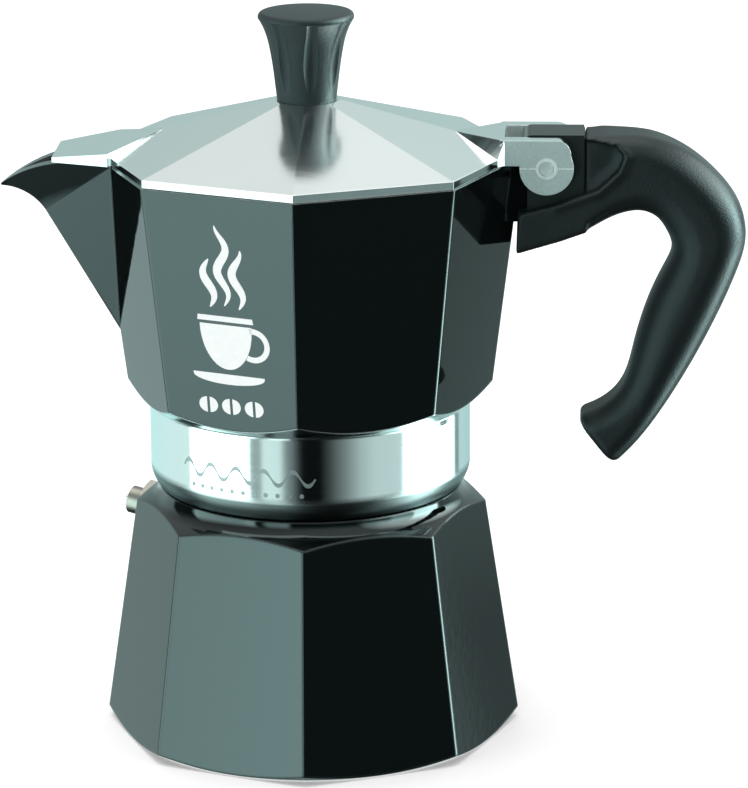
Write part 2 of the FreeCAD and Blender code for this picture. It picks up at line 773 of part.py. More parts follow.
def make_handle():
    seam = handle_seam_x
    front = bracket_step_x - cradle_front_gap
    under = bracket_under_z
    cradle = prism_y([
        (front - 0.3, under - cradle_front_t),
        (bracket_end_x - cradle_bend_x, under - cradle_bend_t),
        (seam + 0.6, under - cradle_end_t),
        (seam + 0.6, under + 8.6),
        (front, under + 3.1),
    ], handle_half_w)
    cradle = round_edges(cradle, 1.0, is_cradle_edge)
    body = make_grip().fuse(cradle)
    body = body.cut(box(0, seam, -handle_seat_half_w, handle_seat_half_w,
                        bracket_under_z - handle_gap, bracket_top_z + 6))
    recess = [beside_bracket(across, down) for across, down in (
        (-20, -16), (-20, 18.7), (-6.2, 14.7), (2.8, 11.5), (7.4, 7.3),
        (8.6, 4.1), (7.1, 2.0), (3.7, 1.2), (handle_gap, 1.0), (handle_gap, -16))]
    for sign in (-1, 1):
        tool = face([Vector(x, sign * handle_recess_half_w, z) for x, z in recess])
        body = body.cut(tool.extrude(Vector(0, sign * 10, 0)))
    body = body.cut(cylinder(screw_head_r + screw_head_gap, screw_seat_z - 20, screw_seat_z, screw_x))
    return body.cut(cylinder(screw_shank_r + screw_fit, screw_seat_z - 20, bracket_under_z + 1,
                             screw_x))


def is_cradle_edge(edge):
    """Lower long edges of the cradle under the bracket."""
    b = edge.BoundBox
    return b.YLength < 0.01 and b.ZMax < bracket_under_z and b.XMax < bracket_end_x + 1


def make_handle_screw():
    low = screw_seat_z - screw_head_t
    head = cylinder(screw_head_r, low, screw_seat_z, screw_x)
    head = round_edges(head, screw_head_rounding, lambda e: e.BoundBox.ZMax < low + 0.1)
    short = screw_slot_half_w
    long = screw_slot_half_l
    for half_x, half_y in ((short, long), (long, short)):
        head = head.cut(box(screw_x - half_x, screw_x + half_x, -half_y, half_y,
                            low - 1, low + screw_slot_depth))
    return head.fuse(cylinder(screw_shank_r, screw_seat_z - 0.2, screw_tip_z, screw_x))


def make_hinge_pin():
    end = lug_half_w + pin_end_proud
    pin = cylinder_y(hinge_pin_r, -end, end, hinge_x, hinge_z)
    for y0, y1 in ((-end - 1, -end + pin_dimple), (end - pin_dimple, end + 1)):
        pin = pin.cut(cylinder_y(hinge_pin_r - pin_rim_w, y0, y1, hinge_x, hinge_z))
    return pin


# ---- lid ----------------------------------------------------------------------------------------
def make_beak():
    ridge = Vector(beak_ridge_x, 0, ridge_height(beak_ridge_x))
    low = lid_rim_z
    root = [Vector(beak_root_x, s * beak_root_half_w, beak_root_z) for s in (-1, 1)]
    front = [Vector(beak_front_x, s * beak_front_half_w, beak_front_z) for s in (-1, 1)]
    ridge_b = Vector(ridge.x, 0, low)
    root_b = [Vector(p.x, p.y, low) for p in root]
    front_b = [Vector(p.x, p.y, low) for p in front]
    return polyhedron([
        [ridge, root[0], root[1]],
        [root[0], front[0], front[1], root[1]],
        [ridge, root[0], root_b[0], ridge_b],
        [ridge, root[1], root_b[1], ridge_b],
        [root[0], front[0], front_b[0], root_b[0]],
        [root[1], front[1], front_b[1], root_b[1]],
        [front[0], front[1], front_b[1], front_b[0]],
        [ridge_b, root_b[0], front_b[0], front_b[1], root_b[1]],
    ])


def ridge_height(x):
    """Height of the lid's corner ridge at a distance from the axis."""
    return lid_rim_top_z + (lid_rim_r - abs(x)) / roof_run


def make_hinge_block():
    top = lug_top_z
    low = lid_rim_z
    ridge = Vector(block_ridge_x, 0, top)
    ridge_b = Vector(block_ridge_x, 0, low)
    high = [Vector(block_back_x, s * lug_half_w, top) for s in (-1, 1)]
    foot = [Vector(block_foot_x, s * block_foot_half_w, lid_rim_top_z) for s in (-1, 1)]
    foot_b = [Vector(p.x, p.y, low) for p in foot]
    high_b = [Vector(p.x, p.y, low) for p in high]
    block = polyhedron([
        [ridge, high[0], high[1]],
        [ridge, foot[0], high[0]],
        [ridge, foot[1], high[1]],
        [ridge, foot[0], foot_b[0], ridge_b],
        [ridge, foot[1], foot_b[1], ridge_b],
        [foot[0], high[0], high_b[0], foot_b[0]],
        [foot[1], high[1], high_b[1], foot_b[1]],
        [high[0], high[1], high_b[1], high_b[0]],
        [ridge_b, foot_b[0], high_b[0], high_b[1], foot_b[1]],
    ])
    nose_x = hinge_x + lug_r - 0.6
    for y0, y1 in ((-lug_half_w, -lug_inner_w), (lug_inner_w, lug_half_w)):
        bar = box(block_back_x - 1, nose_x, y0, y1, low, top)
        bar = round_edges(bar, lug_nose_r, is_bar_nose)
        disc = cylinder_y(lug_r, y0, y1, hinge_x, hinge_z)
        block = block.fuse(bar).fuse(disc)
    return block.removeSplitter()


def is_bar_nose(e):
    b = e.BoundBox
    return b.YLength > 1 and b.XMin > hinge_x and b.ZMin > hinge_z + 1


def make_lid():
    rim = octagon_frustum(lid_rim_r, lid_rim_z, lid_rim_r, lid_rim_top_z)
    roof = octagon_frustum(lid_rim_r, lid_rim_top_z, lid_top_r, lid_top_z)
    lid = rim.fuse(roof)
    lid = lid.fuse(make_hinge_block())
    lid = lid.cut(box(lid_notch_x, bracket_end_x + 10, -lug_inner_w, lug_inner_w,
                      lid_rim_z - 2, lug_top_z + 2))
    lid = lid.fuse(make_beak())
    cavity_r = lid_rim_r - lid_cavity_inset
    lid = lid.cut(octagon_frustum(cavity_r, lid_rim_z - 0.5, cavity_r, lid_rim_z + 0.4))
    lid = lid.cut(octagon_frustum(cavity_r, lid_rim_z + 0.39, lid_top_r - 1, lid_top_z - lid_wall))
    pin_hole = cylinder_y(hinge_pin_r + hinge_run_fit, -20, 20, hinge_x, hinge_z)
    lid = lid.cut(pin_hole)
    lid = lid.cut(cylinder(stud_r + screw_fit, lid_rim_z, lid_top_z + 2))
    return lid.removeSplitter()


# ---- knob ----------------------------------------------------------------------------------------------
def knob_section():
    base = lid_top_z
    flare = knob_top_r - knob_base_r
    waist = [rz(knob_base_r, base)]
    for share_r, share_h in ((0.139, 0.235), (0.342, 0.520), (0.582, 0.735)):
        waist.append(rz(knob_base_r + share_r * flare, base + share_h * knob_h))
    waist.append(rz(knob_top_r - 0.3, knob_top_z - knob_brow_h))
    curve = Part.BSplineCurve()
    curve.interpolate(waist)
    dome_r = knob_top_r - knob_brow_w
    sphere_r = (dome_r ** 2 + knob_dome_h ** 2) / (2 * knob_dome_h)
    rim, middle, pole = [knob_dome_point(sphere_r, r) for r in (dome_r, dome_r / 2, knob_pole_r)]
    brow = arc(waist[-1], rz(knob_top_r, knob_top_z - 0.55 * knob_brow_h), rim)
    crown = arc(rim, middle, pole)
    return [line(rz(0, base), waist[0]), curve.toShape(), brow, crown,
            line(pole, rz(0, pole.z)), line(rz(0, pole.z), rz(0, base))]


def knob_dome_point(sphere_r, radius):
    """Point of the slightly domed top, which has a small flat at its pole."""
    pole_h = math.sqrt(sphere_r ** 2 - knob_pole_r ** 2)
    drop = pole_h - math.sqrt(sphere_r ** 2 - radius ** 2)
    return rz(radius, knob_top_z - drop)


def make_knob():
    knob = revolve_edges(knob_section())
    base = lid_top_z
    flare = knob_top_r - knob_base_r
    low = rz(knob_base_r + 0.089 * flare + flute_tool_r, base + 0.092 * knob_h)
    middle = rz(knob_base_r + 0.304 * flare + flute_tool_r - flute_depth, base + 0.469 * knob_h)
    high = rz(knob_base_r + 0.835 * flare + flute_tool_r, base + 0.857 * knob_h)
    spine = arc(low, middle, high)
    start = spine.tangentAt(spine.FirstParameter)
    circle = Part.Wire(Part.makeCircle(flute_tool_r, low, start))
    tool = Part.Wire([spine]).makePipeShell([circle], True, False)
    pitch = 360.0 / knob_flutes
    for k in range(knob_flutes):
        turned = tool.copy()
        turned.rotate(Vector(0, 0, 0), UP, pitch * (k + 0.25))
        knob = knob.cut(turned)
    knob = knob.cut(cylinder(insert_r, base - 1, base + insert_t))
    return knob.cut(cylinder(stud_r + screw_fit, base - 1, stud_tip_z + 0.5))


def make_knob_insert():
    body = cylinder(insert_r, lid_top_z, lid_top_z + insert_t)
    return body.cut(cylinder(stud_r + screw_fit, lid_top_z - 1, lid_top_z + insert_t + 1))


def make_knob_washer():
    z1 = lid_top_z - lid_wall
    disc = cylinder(washer_r, z1 - washer_t, z1)
    return disc.cut(cylinder(stud_r + screw_fit, z1 - 3, z1 + 1))


def make_knob_screw():
    z1 = lid_top_z - lid_wall - washer_t
    head = hexagon_prism(nut_af, z1 - nut_t, z1)
    return head.fuse(cylinder(stud_r, z1 - 0.1, stud_tip_z))


# ---- build -------------------------------------------------------------------------------------------------
def main():
    os.makedirs("parts", exist_ok=True)
    export("boiler", make_boiler())
    export("valve_body", valve_frame(make_valve_body()))
    export("valve_washer", valve_frame(make_valve_washer()))
    export("valve_seal", valve_frame(make_valve_seal()))
    export("valve_plunger", valve_frame(make_valve_plunger()))
    export("valve_cap", valve_frame(make_valve_cap()))
    export("valve_spring", valve_frame(make_valve_spring()))
    export("funnel", make_funnel())
    export("funnel_plate", make_funnel_plate())
    export("gasket", make_gasket())
    export("filter_plate", make_filter_plate())
    export("collector_body", make_collector_body())
    export("handle", make_handle())
    export("handle_screw", make_handle_screw())
    export("hinge_pin", make_hinge_pin())
    export("lid", make_lid())
    export("knob", make_knob())
    export("knob_insert", make_knob_insert())
    export("knob_washer", make_knob_washer())
    export("knob_screw", make_knob_screw())


main()
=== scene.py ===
import json
import math

import bmesh
import bpy
from mathutils import Matrix, Vector


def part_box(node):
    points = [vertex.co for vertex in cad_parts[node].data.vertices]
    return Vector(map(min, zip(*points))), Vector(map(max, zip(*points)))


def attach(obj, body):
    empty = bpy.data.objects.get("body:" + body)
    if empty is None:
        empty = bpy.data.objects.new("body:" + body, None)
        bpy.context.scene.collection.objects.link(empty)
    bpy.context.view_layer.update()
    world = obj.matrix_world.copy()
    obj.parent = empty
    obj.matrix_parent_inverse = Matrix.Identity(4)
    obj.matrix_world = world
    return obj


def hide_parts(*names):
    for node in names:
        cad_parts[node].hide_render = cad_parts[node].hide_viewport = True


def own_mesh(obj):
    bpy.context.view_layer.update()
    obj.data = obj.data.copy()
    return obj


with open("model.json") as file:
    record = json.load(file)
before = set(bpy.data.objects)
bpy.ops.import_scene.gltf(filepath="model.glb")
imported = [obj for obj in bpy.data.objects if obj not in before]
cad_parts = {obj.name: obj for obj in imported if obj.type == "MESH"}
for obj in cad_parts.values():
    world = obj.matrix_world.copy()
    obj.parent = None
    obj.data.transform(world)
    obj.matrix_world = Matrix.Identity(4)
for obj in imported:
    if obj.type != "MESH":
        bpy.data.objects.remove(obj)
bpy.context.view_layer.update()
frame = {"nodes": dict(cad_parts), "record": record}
nodes = frame["nodes"]

# Shapes and masks are in millimetres, and MM turns them into metres. Bump distances,
# bevel radii, lights and the camera are in metres. +Z runs up the pot's axis, +X
# towards the handle and -X towards the spout.
MM = 0.001
CAMERA_AZIMUTH = 3.825         # degrees from the pot's front towards the handle

# ---- the pot's own lines, as the CAD has them --------------------------------------
SIDE_COS = math.cos(math.pi / 8)    # a side's distance from the axis over a corner's
COLLAR_R = 35.15
COLLAR_TOP_Z = 74.3
CONE_SLOPE = 0.72              # of the cone between the collar and the chamber's sides
CHAMBER_BASE_R = 39.73         # to a corner, at the collar's top
CHAMBER_RISE = 0.127           # corner radius gained per millimetre of height
CHAMBER_TOP_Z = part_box("collector_body")[1].z * 1000
BOILER_BASE_R = 46.25          # to a corner
BOILER_DROP = 0.151            # corner radius lost per millimetre of height
BOILER_TWIST = 1.2             # degrees
NECK_FOOT_Z = 55.3
NECK_R = 31.0
COLLAR_BORE_R = 32.1
THREAD_PITCH = 3.2
HINGE_X = 51.8
HINGE_Z = 127.5
BRACKET_END_X = 59.8
BRACKET_TOP_Z = 133.9


# ---- shader arithmetic -------------------------------------------------------------
class Num:
    """A number in a shader tree. Arithmetic on it adds Math nodes."""

    def __init__(self, tree, socket):
        self.tree = tree
        self.socket = socket

    def op(self, name, *others):
        node = self.tree.nodes.new("ShaderNodeMath")
        node.operation = name
        for k, item in enumerate((self,) + others):
            if isinstance(item, Num):
                self.tree.links.new(item.socket, node.inputs[k])
            else:
                node.inputs[k].default_value = item
        return Num(self.tree, node.outputs[0])

    def __add__(self, other):
        return self.op("ADD", other)

    def __sub__(self, other):
        return self.op("SUBTRACT", other)

    def __mul__(self, other):
        return self.op("MULTIPLY", other)

    def __truediv__(self, other):
        return self.op("DIVIDE", other)

    def power(self, other):
        return self.op("POWER", other)

    def absolute(self):
        return self.op("ABSOLUTE")

    def clamp(self):
        return self.op("MINIMUM", 1.0).op("MAXIMUM", 0.0)

    def below(self, other, soft=0.05):
        """1 where this is less than other, 0 elsewhere, with an edge soft wide."""
        return ((self * -1.0 + other) / soft + 0.5).clamp()

    def above(self, other, soft=0.05):
        """1 where this is more than other, 0 elsewhere, with an edge soft wide."""
        return ((self - other) / soft + 0.5).clamp()

    def opposite(self):
        """1 where this mask is 0, and 0 where it is 1."""
        return self * -1.0 + 1.0

    def either(self, other):
        return self.op("MAXIMUM", other)

    def both(self, other):
        return self.op("MINIMUM", other)

    def ramp(self, stops):
        """Straight lines between stops, which are pairs of this number and a value."""
        node = self.tree.nodes.new("ShaderNodeValToRGB")
        node.color_ramp.interpolation = "LINEAR"
        elements = node.color_ramp.elements
        while len(elements) < len(stops):
            elements.new(0.5)
        for element, (position, value) in zip(elements, stops):
            element.position = position
            element.color = (value, value, value, 1)
        self.tree.links.new(self.socket, node.inputs[0])
        return Num(self.tree, node.outputs[0])


class Material:
    """A Principled material whose inputs are worked out from the surface's place."""

    def __init__(self, name):
        self.material = bpy.data.materials.new(name)
        self.material.use_nodes = True
        self.tree = self.material.node_tree
        self.shader = self.tree.nodes["Principled BSDF"]
        place = self.tree.nodes.new("ShaderNodeTexCoord")
        self.place = place.outputs["Object"]
        self.x, self.y, self.z = [c * (1 / MM) for c in self.split(self.place)]
        self.r = (self.x * self.x + self.y * self.y).op("SQRT")

    def split(self, socket):
        node = self.tree.nodes.new("ShaderNodeSeparateXYZ")
        self.tree.links.new(socket, node.inputs[0])
        return [Num(self.tree, out) for out in node.outputs]

    def join(self, x, y, z):
        node = self.tree.nodes.new("ShaderNodeCombineXYZ")
        for item, socket in zip((x, y, z), node.inputs):
            self.tree.links.new(item.socket, socket)
        return node.outputs[0]

    def normal(self):
        """The parts of the face's true normal, without any bump."""
        node = self.tree.nodes.new("ShaderNodeNewGeometry")
        return self.split(node.outputs["True Normal"])

    def noise(self, scale, detail=2.0, rough=0.5, stretch=(1, 1, 1), vector=None):
        """Noise between 0 and 1 over the surface; scale is cycles per metre."""
        mapping = self.tree.nodes.new("ShaderNodeMapping")
        mapping.inputs["Scale"].default_value = stretch
        self.tree.links.new(vector or self.place, mapping.inputs[0])
        node = self.tree.nodes.new("ShaderNodeTexNoise")
        node.inputs["Scale"].default_value = scale
        node.inputs["Detail"].default_value = detail
        node.inputs["Roughness"].default_value = rough
        self.tree.links.new(mapping.outputs[0], node.inputs["Vector"])
        return Num(self.tree, node.outputs[0])

    def mix(self, factor, a, b):
        """Colour a where factor is 0, b where it is 1."""
        node = self.tree.nodes.new("ShaderNodeMix")
        node.data_type = "RGBA"
        self.tree.links.new(factor.socket, node.inputs["Factor"])
        for item, socket in ((a, node.inputs["A"]), (b, node.inputs["B"])):
            if isinstance(item, Num):
                self.tree.links.new(item.socket, socket)
            else:
                socket.default_value = (*item, 1)
        return Num(self.tree, node.outputs["Result"])

    def blend(self, factor, a, b):
        """Number a where factor is 0, b where it is 1."""
        return a + (a * -1.0 + b) * factor

    def set(self, **values):
        """Gives the shader's inputs, named with _ for a space, a number or a colour."""
        for name, value in values.items():
            socket = self.shader.inputs[name.replace("_", " ")]
            if isinstance(value, Num):
                self.tree.links.new(value.socket, socket)
            elif isinstance(value, tuple):
                socket.default_value = (*value, 1)
            else:
                socket.default_value = value

    def soft_edges(self, radius):
        """A normal that rounds the surface's sharp edges by radius metres."""
        node = self.tree.nodes.new("ShaderNodeBevel")
        node.samples = 8
        if isinstance(radius, Num):
            self.tree.links.new(radius.socket, node.inputs["Radius"])
        else:
            node.inputs["Radius"].default_value = radius
        return node.outputs[0]

    def bump(self, height, distance, strength, after=None):
        """Bumps of height times distance metres, laid over the normal after."""
        node = self.tree.nodes.new("ShaderNodeBump")
        node.inputs["Strength"].default_value = strength
        node.inputs["Distance"].default_value = distance
        self.tree.links.new(height.socket, node.inputs["Height"])
        if after:
            self.tree.links.new(after, node.inputs["Normal"])
        self.tree.links.new(node.outputs[0], self.shader.inputs["Normal"])


# ---- materials ---------------------------------------------------------------------
ENAMEL = (0.0022, 0.0034, 0.0036)
BARE_METAL = (0.86, 0.875, 0.87)
# dark metal painted at the collar's foot as painted shade
FOOT_SHADE_METAL = (0.05, 0.065, 0.065)


def octagon_distance(m, turn=0.0):
    """Distance from the axis, square to the nearest side of an octagon."""
    best = None
    for k in range(4):
        a = math.radians(22.5 + 45 * k + turn)
        d = (m.x * math.cos(a) + m.y * math.sin(a)).absolute()
        best = d if best is None else best.either(d)
    return best


def edge_radius(m):
    """Edge rounding in metres: wide on the sides, narrow on the rim and the bracket."""
    sides = m.z.below(125.5, 2.0) * m.x.absolute().below(46.5, 1.0)
    return sides * 0.0006 + 0.0002


def enamel_over_metal(name, bare, bare_rough, dull_shaded_foot=0.0):
    """Black enamel, with bare metal where the mask that bare(m) gives is 1."""
    m = Material(name)
    mask = bare(m)
    peel = m.noise(420, 1.0)
    streak = m.noise(60, 3.0, 0.6, (1, 1, 26))
    # painted shade: the bare metal at the collar's foot, where it meets the boiler, is painted
    # darker, and it is also rougher there
    foot_shade = m.z.below(60.2, 1.6).both(m.z.above(55.0)) * dull_shaded_foot
    bracket = m.x.above(47.6, 0.4)
    enamel_rough = peel * 0.02 + bracket * 0.36 + 0.022
    metal_rough = streak * 0.10 + foot_shade * 0.22 + bare_rough
    # the teal Specular_Tint is a painted tint of the enamel's reflections, standing for part
    # of the studio light's colour
    m.set(Base_Color=m.mix(mask, ENAMEL, m.mix(foot_shade * 0.9, BARE_METAL, FOOT_SHADE_METAL)),
          Metallic=mask, Roughness=m.blend(mask, enamel_rough, metal_rough),
          Specular_IOR_Level=0.5, Specular_Tint=(0.86, 1.0, 1.0))
    m.bump(m.blend(mask, peel * 0.35, streak), distance=0.00004, strength=0.35,
           after=m.soft_edges(edge_radius(m)))
    return m.material


def chamber_bare(m):
    """Collar, cone, inside, rim and spout channel of the upper chamber."""
    nx, ny, nz = m.normal()
    cone_line = COLLAR_TOP_Z - CONE_SLOPE * COLLAR_R + 0.12
    cone = (m.z - m.r * CONE_SLOPE).below(cone_line, 0.05)
    # about halfway through the wall, so that only its inner face counts as inside
    wall = ((m.z - COLLAR_TOP_Z) * (CHAMBER_RISE * SIDE_COS)
            + (CHAMBER_BASE_R * SIDE_COS - 1.2))
    inside = (octagon_distance(m) - wall).below(0.0)
    rim = m.z.above(127.86, 0.02).both(nz.above(0.9)).both(m.x.below(46.0))
    spout = m.x.below(-45.0)
    lip_z = (m.x + 50.0).op("MINIMUM", 0.0) * 0.30 + (CHAMBER_TOP_Z - 0.5)
    lip = nz.above(0.25).both(spout).both((m.z - lip_z).above(0.0, 0.3))
    facing_in = (m.y * ny).below(-0.02, 0.02).either(nz.above(0.25))
    channel = facing_in.both(spout).both(m.x.above(-48.0))
    return cone.either(inside).either(rim).either(lip).either(channel)


def boiler_bare(m):
    """Neck, base and inside of the boiler."""
    nx, ny, nz = m.normal()
    neck = m.z.above(NECK_FOOT_Z)
    base = nz.below(-0.9).both(m.z.below(0.6))
    # about halfway through the wall, as in the chamber
    wall = m.z * (-BOILER_DROP * SIDE_COS) + (BOILER_BASE_R * SIDE_COS - 1.4)
    inside = (octagon_distance(m, BOILER_TWIST) - wall).below(0.0)
    inside = inside.both(m.z.below(50.0)).both(m.z.above(0.5)).both(m.r.below(43.0))
    bore = m.r.below(30.0).both(m.z.above(2.0))
    return neck.either(base).either(inside).either(bore)


def polished_lid():
    """Streaky polish on the roof, painted shade on the upright rim, and rough cast metal on
    the lugs with painted highlight lines.
    """
    m = Material("lid_polished")
    nx, ny, nz = m.normal()
    streak = m.noise(34, 4.0, 0.62, (1, 18, 1))
    cloud = m.noise(55, 3.0)
    grain = m.noise(1500, 2.0)
    lug = m.x.above(42.6, 0.1).both(m.y.absolute().above(5.5))
    lug_side = lug.both(ny.absolute().above(0.7))
    # painted shade: the lid's upright faces get a darker metal colour than the roof
    rim = nz.absolute().below(0.5).both(lug.opposite())
    # painted highlights: white lines on the mould's parting line across the lug and on the
    # ring that holds the hinge pin, for the light that their edges catch
    seam = (m.z - HINGE_Z).absolute().below(0.16, 0.08).both(lug_side)
    seam = seam * grain.above(0.42, 0.1)
    away = ((m.x - HINGE_X).power(2.0) + (m.z - HINGE_Z).power(2.0)).op("SQRT")
    ring = away.above(1.65, 0.1).both(away.below(2.35, 0.1)).both(lug_side)
    cast = m.mix(grain, (0.55, 0.60, 0.59), (0.74, 0.80, 0.79))
    # cast metal with its own grain, and painted white highlights on the seam and the pin ring
    lug_color_and_highlights = m.mix(seam.either(ring), cast, (1.0, 1.0, 1.0))
    color = m.mix(lug_side, (0.90, 0.915, 0.91), lug_color_and_highlights)
    polish_rough = streak * 0.10 + cloud * 0.05 + 0.055
    m.set(Base_Color=m.mix(rim, color, (0.44, 0.46, 0.46)), Metallic=1.0,
          Roughness=m.blend(lug_side, polish_rough, grain * 0.1 + 0.42))
    m.bump(m.blend(lug_side, streak * 0.25, grain * 1.6), distance=0.00006, strength=0.4,
           after=m.soft_edges(0.0002))
    return m.material


def spun_metal(name, color, rough):
    """Metal with fine turned rings round the pot's axis and faint stains."""
    m = Material(name)
    turned = m.join(m.r * MM, m.z * MM, m.r * 0.0)
    ring = m.noise(900, 2.0, 0.5, vector=turned)
    stain = m.noise(120, 3.0)
    m.set(Base_Color=m.mix(stain * 0.35, color, tuple(c * 0.72 for c in color)),
          Metallic=1.0, Roughness=ring * 0.16 + rough)
    m.bump(ring, distance=0.00005, strength=0.4)
    return m.material


def nylon(name, rough, gloss, shade=1.0):
    """Moulded black nylon with a fine spark-eroded grain."""
    m = Material(name)
    fine = m.noise(2300, 2.0, 0.6)
    broad = m.noise(160, 2.0)
    nx, ny, nz = m.normal()
    # painted light: a shade factor over 1 makes a lighter copy of the same nylon
    dark = tuple(c * shade for c in (0.0035, 0.0060, 0.0066))
    light = tuple(c * shade for c in (0.0060, 0.0090, 0.0098))
    # the teal Specular_Tint is a painted tint of the nylon's reflections, standing for part of
    # the studio light's colour
    m.set(Base_Color=m.mix(broad, dark, light),
          Roughness=broad * 0.05 + nx.below(0.0, 0.6) * 0.2 + rough,
          Specular_IOR_Level=gloss, Specular_Tint=(0.88, 1.0, 1.0))
    m.bump(fine, distance=0.00010, strength=0.6, after=m.soft_edges(0.0002))
    return m.material


def mottled(name, color, other, scale, detail, rough, relief, coarse=0.5, metallic=0.0):
    """A plain surface that wavers between two colours.

    rough is its least roughness and the range above that; relief is the bump's
    distance and strength.
    """
    m = Material(name)
    cloud = m.noise(scale, detail, coarse)
    m.set(Base_Color=m.mix(cloud, color, other), Metallic=metallic,
          Roughness=cloud * rough[1] + rough[0])
    m.bump(cloud, distance=relief[0], strength=relief[1])
    return m.material


def silicone():
    return mottled("silicone", (0.80, 0.80, 0.76), (0.70, 0.70, 0.66), 300, 3.0,
                   rough=(0.5, 0.1), relief=(0.00005, 0.4))


def fibre():
    return mottled("fibre_washer", (0.42, 0.07, 0.045), (0.22, 0.03, 0.02), 2600, 3.0,
                   rough=(0.6, 0.2), relief=(0.00008, 0.5), coarse=0.7)


def white_print():
    return mottled("white_print", (0.74, 0.79, 0.78), (0.84, 0.87, 0.86), 700, 2.0,
                   rough=(0.42, 0.1), relief=(0.00002, 0.4))


def etched_metal():
    return mottled("etched_metal", (0.20, 0.22, 0.22), (0.32, 0.34, 0.34), 4000, 2.0,
                   rough=(0.5, 0.1), relief=(0.00003, 0.5), metallic=1.0)


def give(material, *names):
    """Makes this the only material of the CAD nodes named."""
    for name in names:
        slots = nodes[name].data.materials
        slots.clear()
        slots.append(material)


ALUMINIUM = spun_metal("spun_aluminium", (0.74, 0.75, 0.75), 0.24)
STEEL = spun_metal("bright_steel", (0.62, 0.63, 0.64), 0.14)
BRASS = spun_metal("nickelled_brass", (0.26, 0.25, 0.22), 0.26)
HANDLE_NYLON = nylon("handle_nylon", rough=0.31, gloss=0.34)
give(enamel_over_metal("boiler_enamel", boiler_bare, 0.14), "boiler")
give(enamel_over_metal("chamber_enamel", chamber_bare, 0.05, dull_shaded_foot=1.0), "collector_body")
give(polished_lid(), "lid")
give(HANDLE_NYLON, "handle")
# the knob is the handle's nylon painted 2.2 times lighter, as painted light
give(nylon("knob_nylon_painted_light", rough=0.36, gloss=0.34, shade=2.2), "knob")
give(ALUMINIUM, "funnel", "funnel_plate", "filter_plate")
give(STEEL, "valve_plunger", "valve_spring", "valve_cap")
give(STEEL, "handle_screw", "knob_washer", "knob_screw")
give(spun_metal("pin_steel", (0.74, 0.78, 0.77), 0.45), "hinge_pin")
give(BRASS, "valve_body", "knob_insert")
give(silicone(), "gasket", "valve_seal")
give(fibre(), "valve_washer")


# ---- outlines, as lists of (across, up) --------------------------------------------
def arc(u, v, ru, rv, start, end, count=24):
    """Part of an ellipse round (u, v), between two angles in degrees."""
    angles = [math.radians(start + (end - start) * k / count) for k in range(count + 1)]
    return [(u + ru * math.cos(a), v + rv * math.sin(a)) for a in angles]


def ribbon(path, half_width):
    """Outline of a stroke along path; half_width(t) has t from 0 to 1 along it."""
    left, right = [], []
    for k, (u, v) in enumerate(path):
        u0, v0 = path[max(k - 1, 0)]
        u1, v1 = path[min(k + 1, len(path) - 1)]
        length = math.hypot(u1 - u0, v1 - v0)
        w = half_width(k / (len(path) - 1)) / length
        left.append((u - (v1 - v0) * w, v + (u1 - u0) * w))
        right.append((u + (v1 - v0) * w, v - (u1 - u0) * w))
    return left + right[::-1]


def rounded_box(half_width, low, high, r):
    """Box whose corners are arcs of radius r round the corners of the given size."""
    outline = []
    for u, v, start in ((-half_width, low, 180), (half_width, low, 270),
                        (half_width, high, 0), (-half_width, high, 90)):
        outline += arc(u, v, r, r, start, start + 90, 6)
    return outline


def coffee_cup():
    """Plain cup with steam over three beans."""
    bowl = [(6.1, 99.6), (-6.1, 99.6)] + arc(0, 99.2, 6.1, 9.6, 187, 353)
    rim = [(-6.6, 100.3), (6.6, 100.3), (6.4, 101.5), (-6.4, 101.5)]
    ear = ribbon(arc(6.2, 95.6, 3.3, 3.2, 100, -118), lambda t: 0.62)
    saucer = arc(0, 88.1, 8.4, 1.9, 180, 360) + [(8.4, 88.5), (-8.4, 88.5)]
    outlines = [bowl, rim, ear, saucer]
    steps = 30
    for middle, foot, top in ((-3.3, 103.4, 114.0), (0.1, 103.9, 121.5), (3.5, 103.4, 116.5)):
        heights = [(top - foot) * k / steps for k in range(steps + 1)]
        wisp = [(middle + 1.15 * math.sin(h * 0.62), foot + h) for h in heights]
        outlines.append(ribbon(wisp, lambda t: 0.12 + 0.85 * math.sin(math.pi * t) ** 0.8))
    for middle in (-5.4, 0.0, 5.4):
        outlines.append(arc(middle - 0.22, 81.2, 2.0, 1.75, 93, 267, 16))
        outlines.append(arc(middle + 0.22, 81.2, 2.0, 1.75, -87, 87, 16))
    return outlines


def wave_border():
    """Even wave of five crests with dots under it, for the collar's front left."""
    start, length, middle, height, steps = -31.0, 32.0, 65.4, 1.5, 200
    turn = 10 * math.pi
    wave = [(start + length * k / steps, middle + height * math.sin(k / steps * turn))
            for k in range(steps + 1)]
    outlines = [ribbon(wave, lambda t: 0.16 + 0.30 * math.sin(turn * t) ** 2)]
    for k in range(11):
        outlines.append(arc(-28.0 + 2.6 * k, 61.6, 0.5, 0.5, 0, 337.5, 15))
    return outlines


# ---- where an outline goes: place(across, up, out) -----------------------------------
def on_facet(across, up, out):
    """A place on the front left side of the upper chamber."""
    a = math.radians(-112.5)
    distance = (CHAMBER_BASE_R + CHAMBER_RISE * (up - COLLAR_TOP_Z)) * SIDE_COS + out
    return (math.cos(a) * distance - math.sin(a) * across,
            math.sin(a) * distance + math.cos(a) * across, up)


def on_collar(across, up, out):
    """A place on the collar; across is measured round it from its front line."""
    a = across / COLLAR_R + math.radians(CAMERA_AZIMUTH - 90)
    return (math.cos(a) * (COLLAR_R + out), math.sin(a) * (COLLAR_R + out), up)


def on_bracket_end(across, up, out):
    """A place in the seam between the hinge bracket's end and the handle."""
    return (BRACKET_END_X - 0.02 + out, across, up)


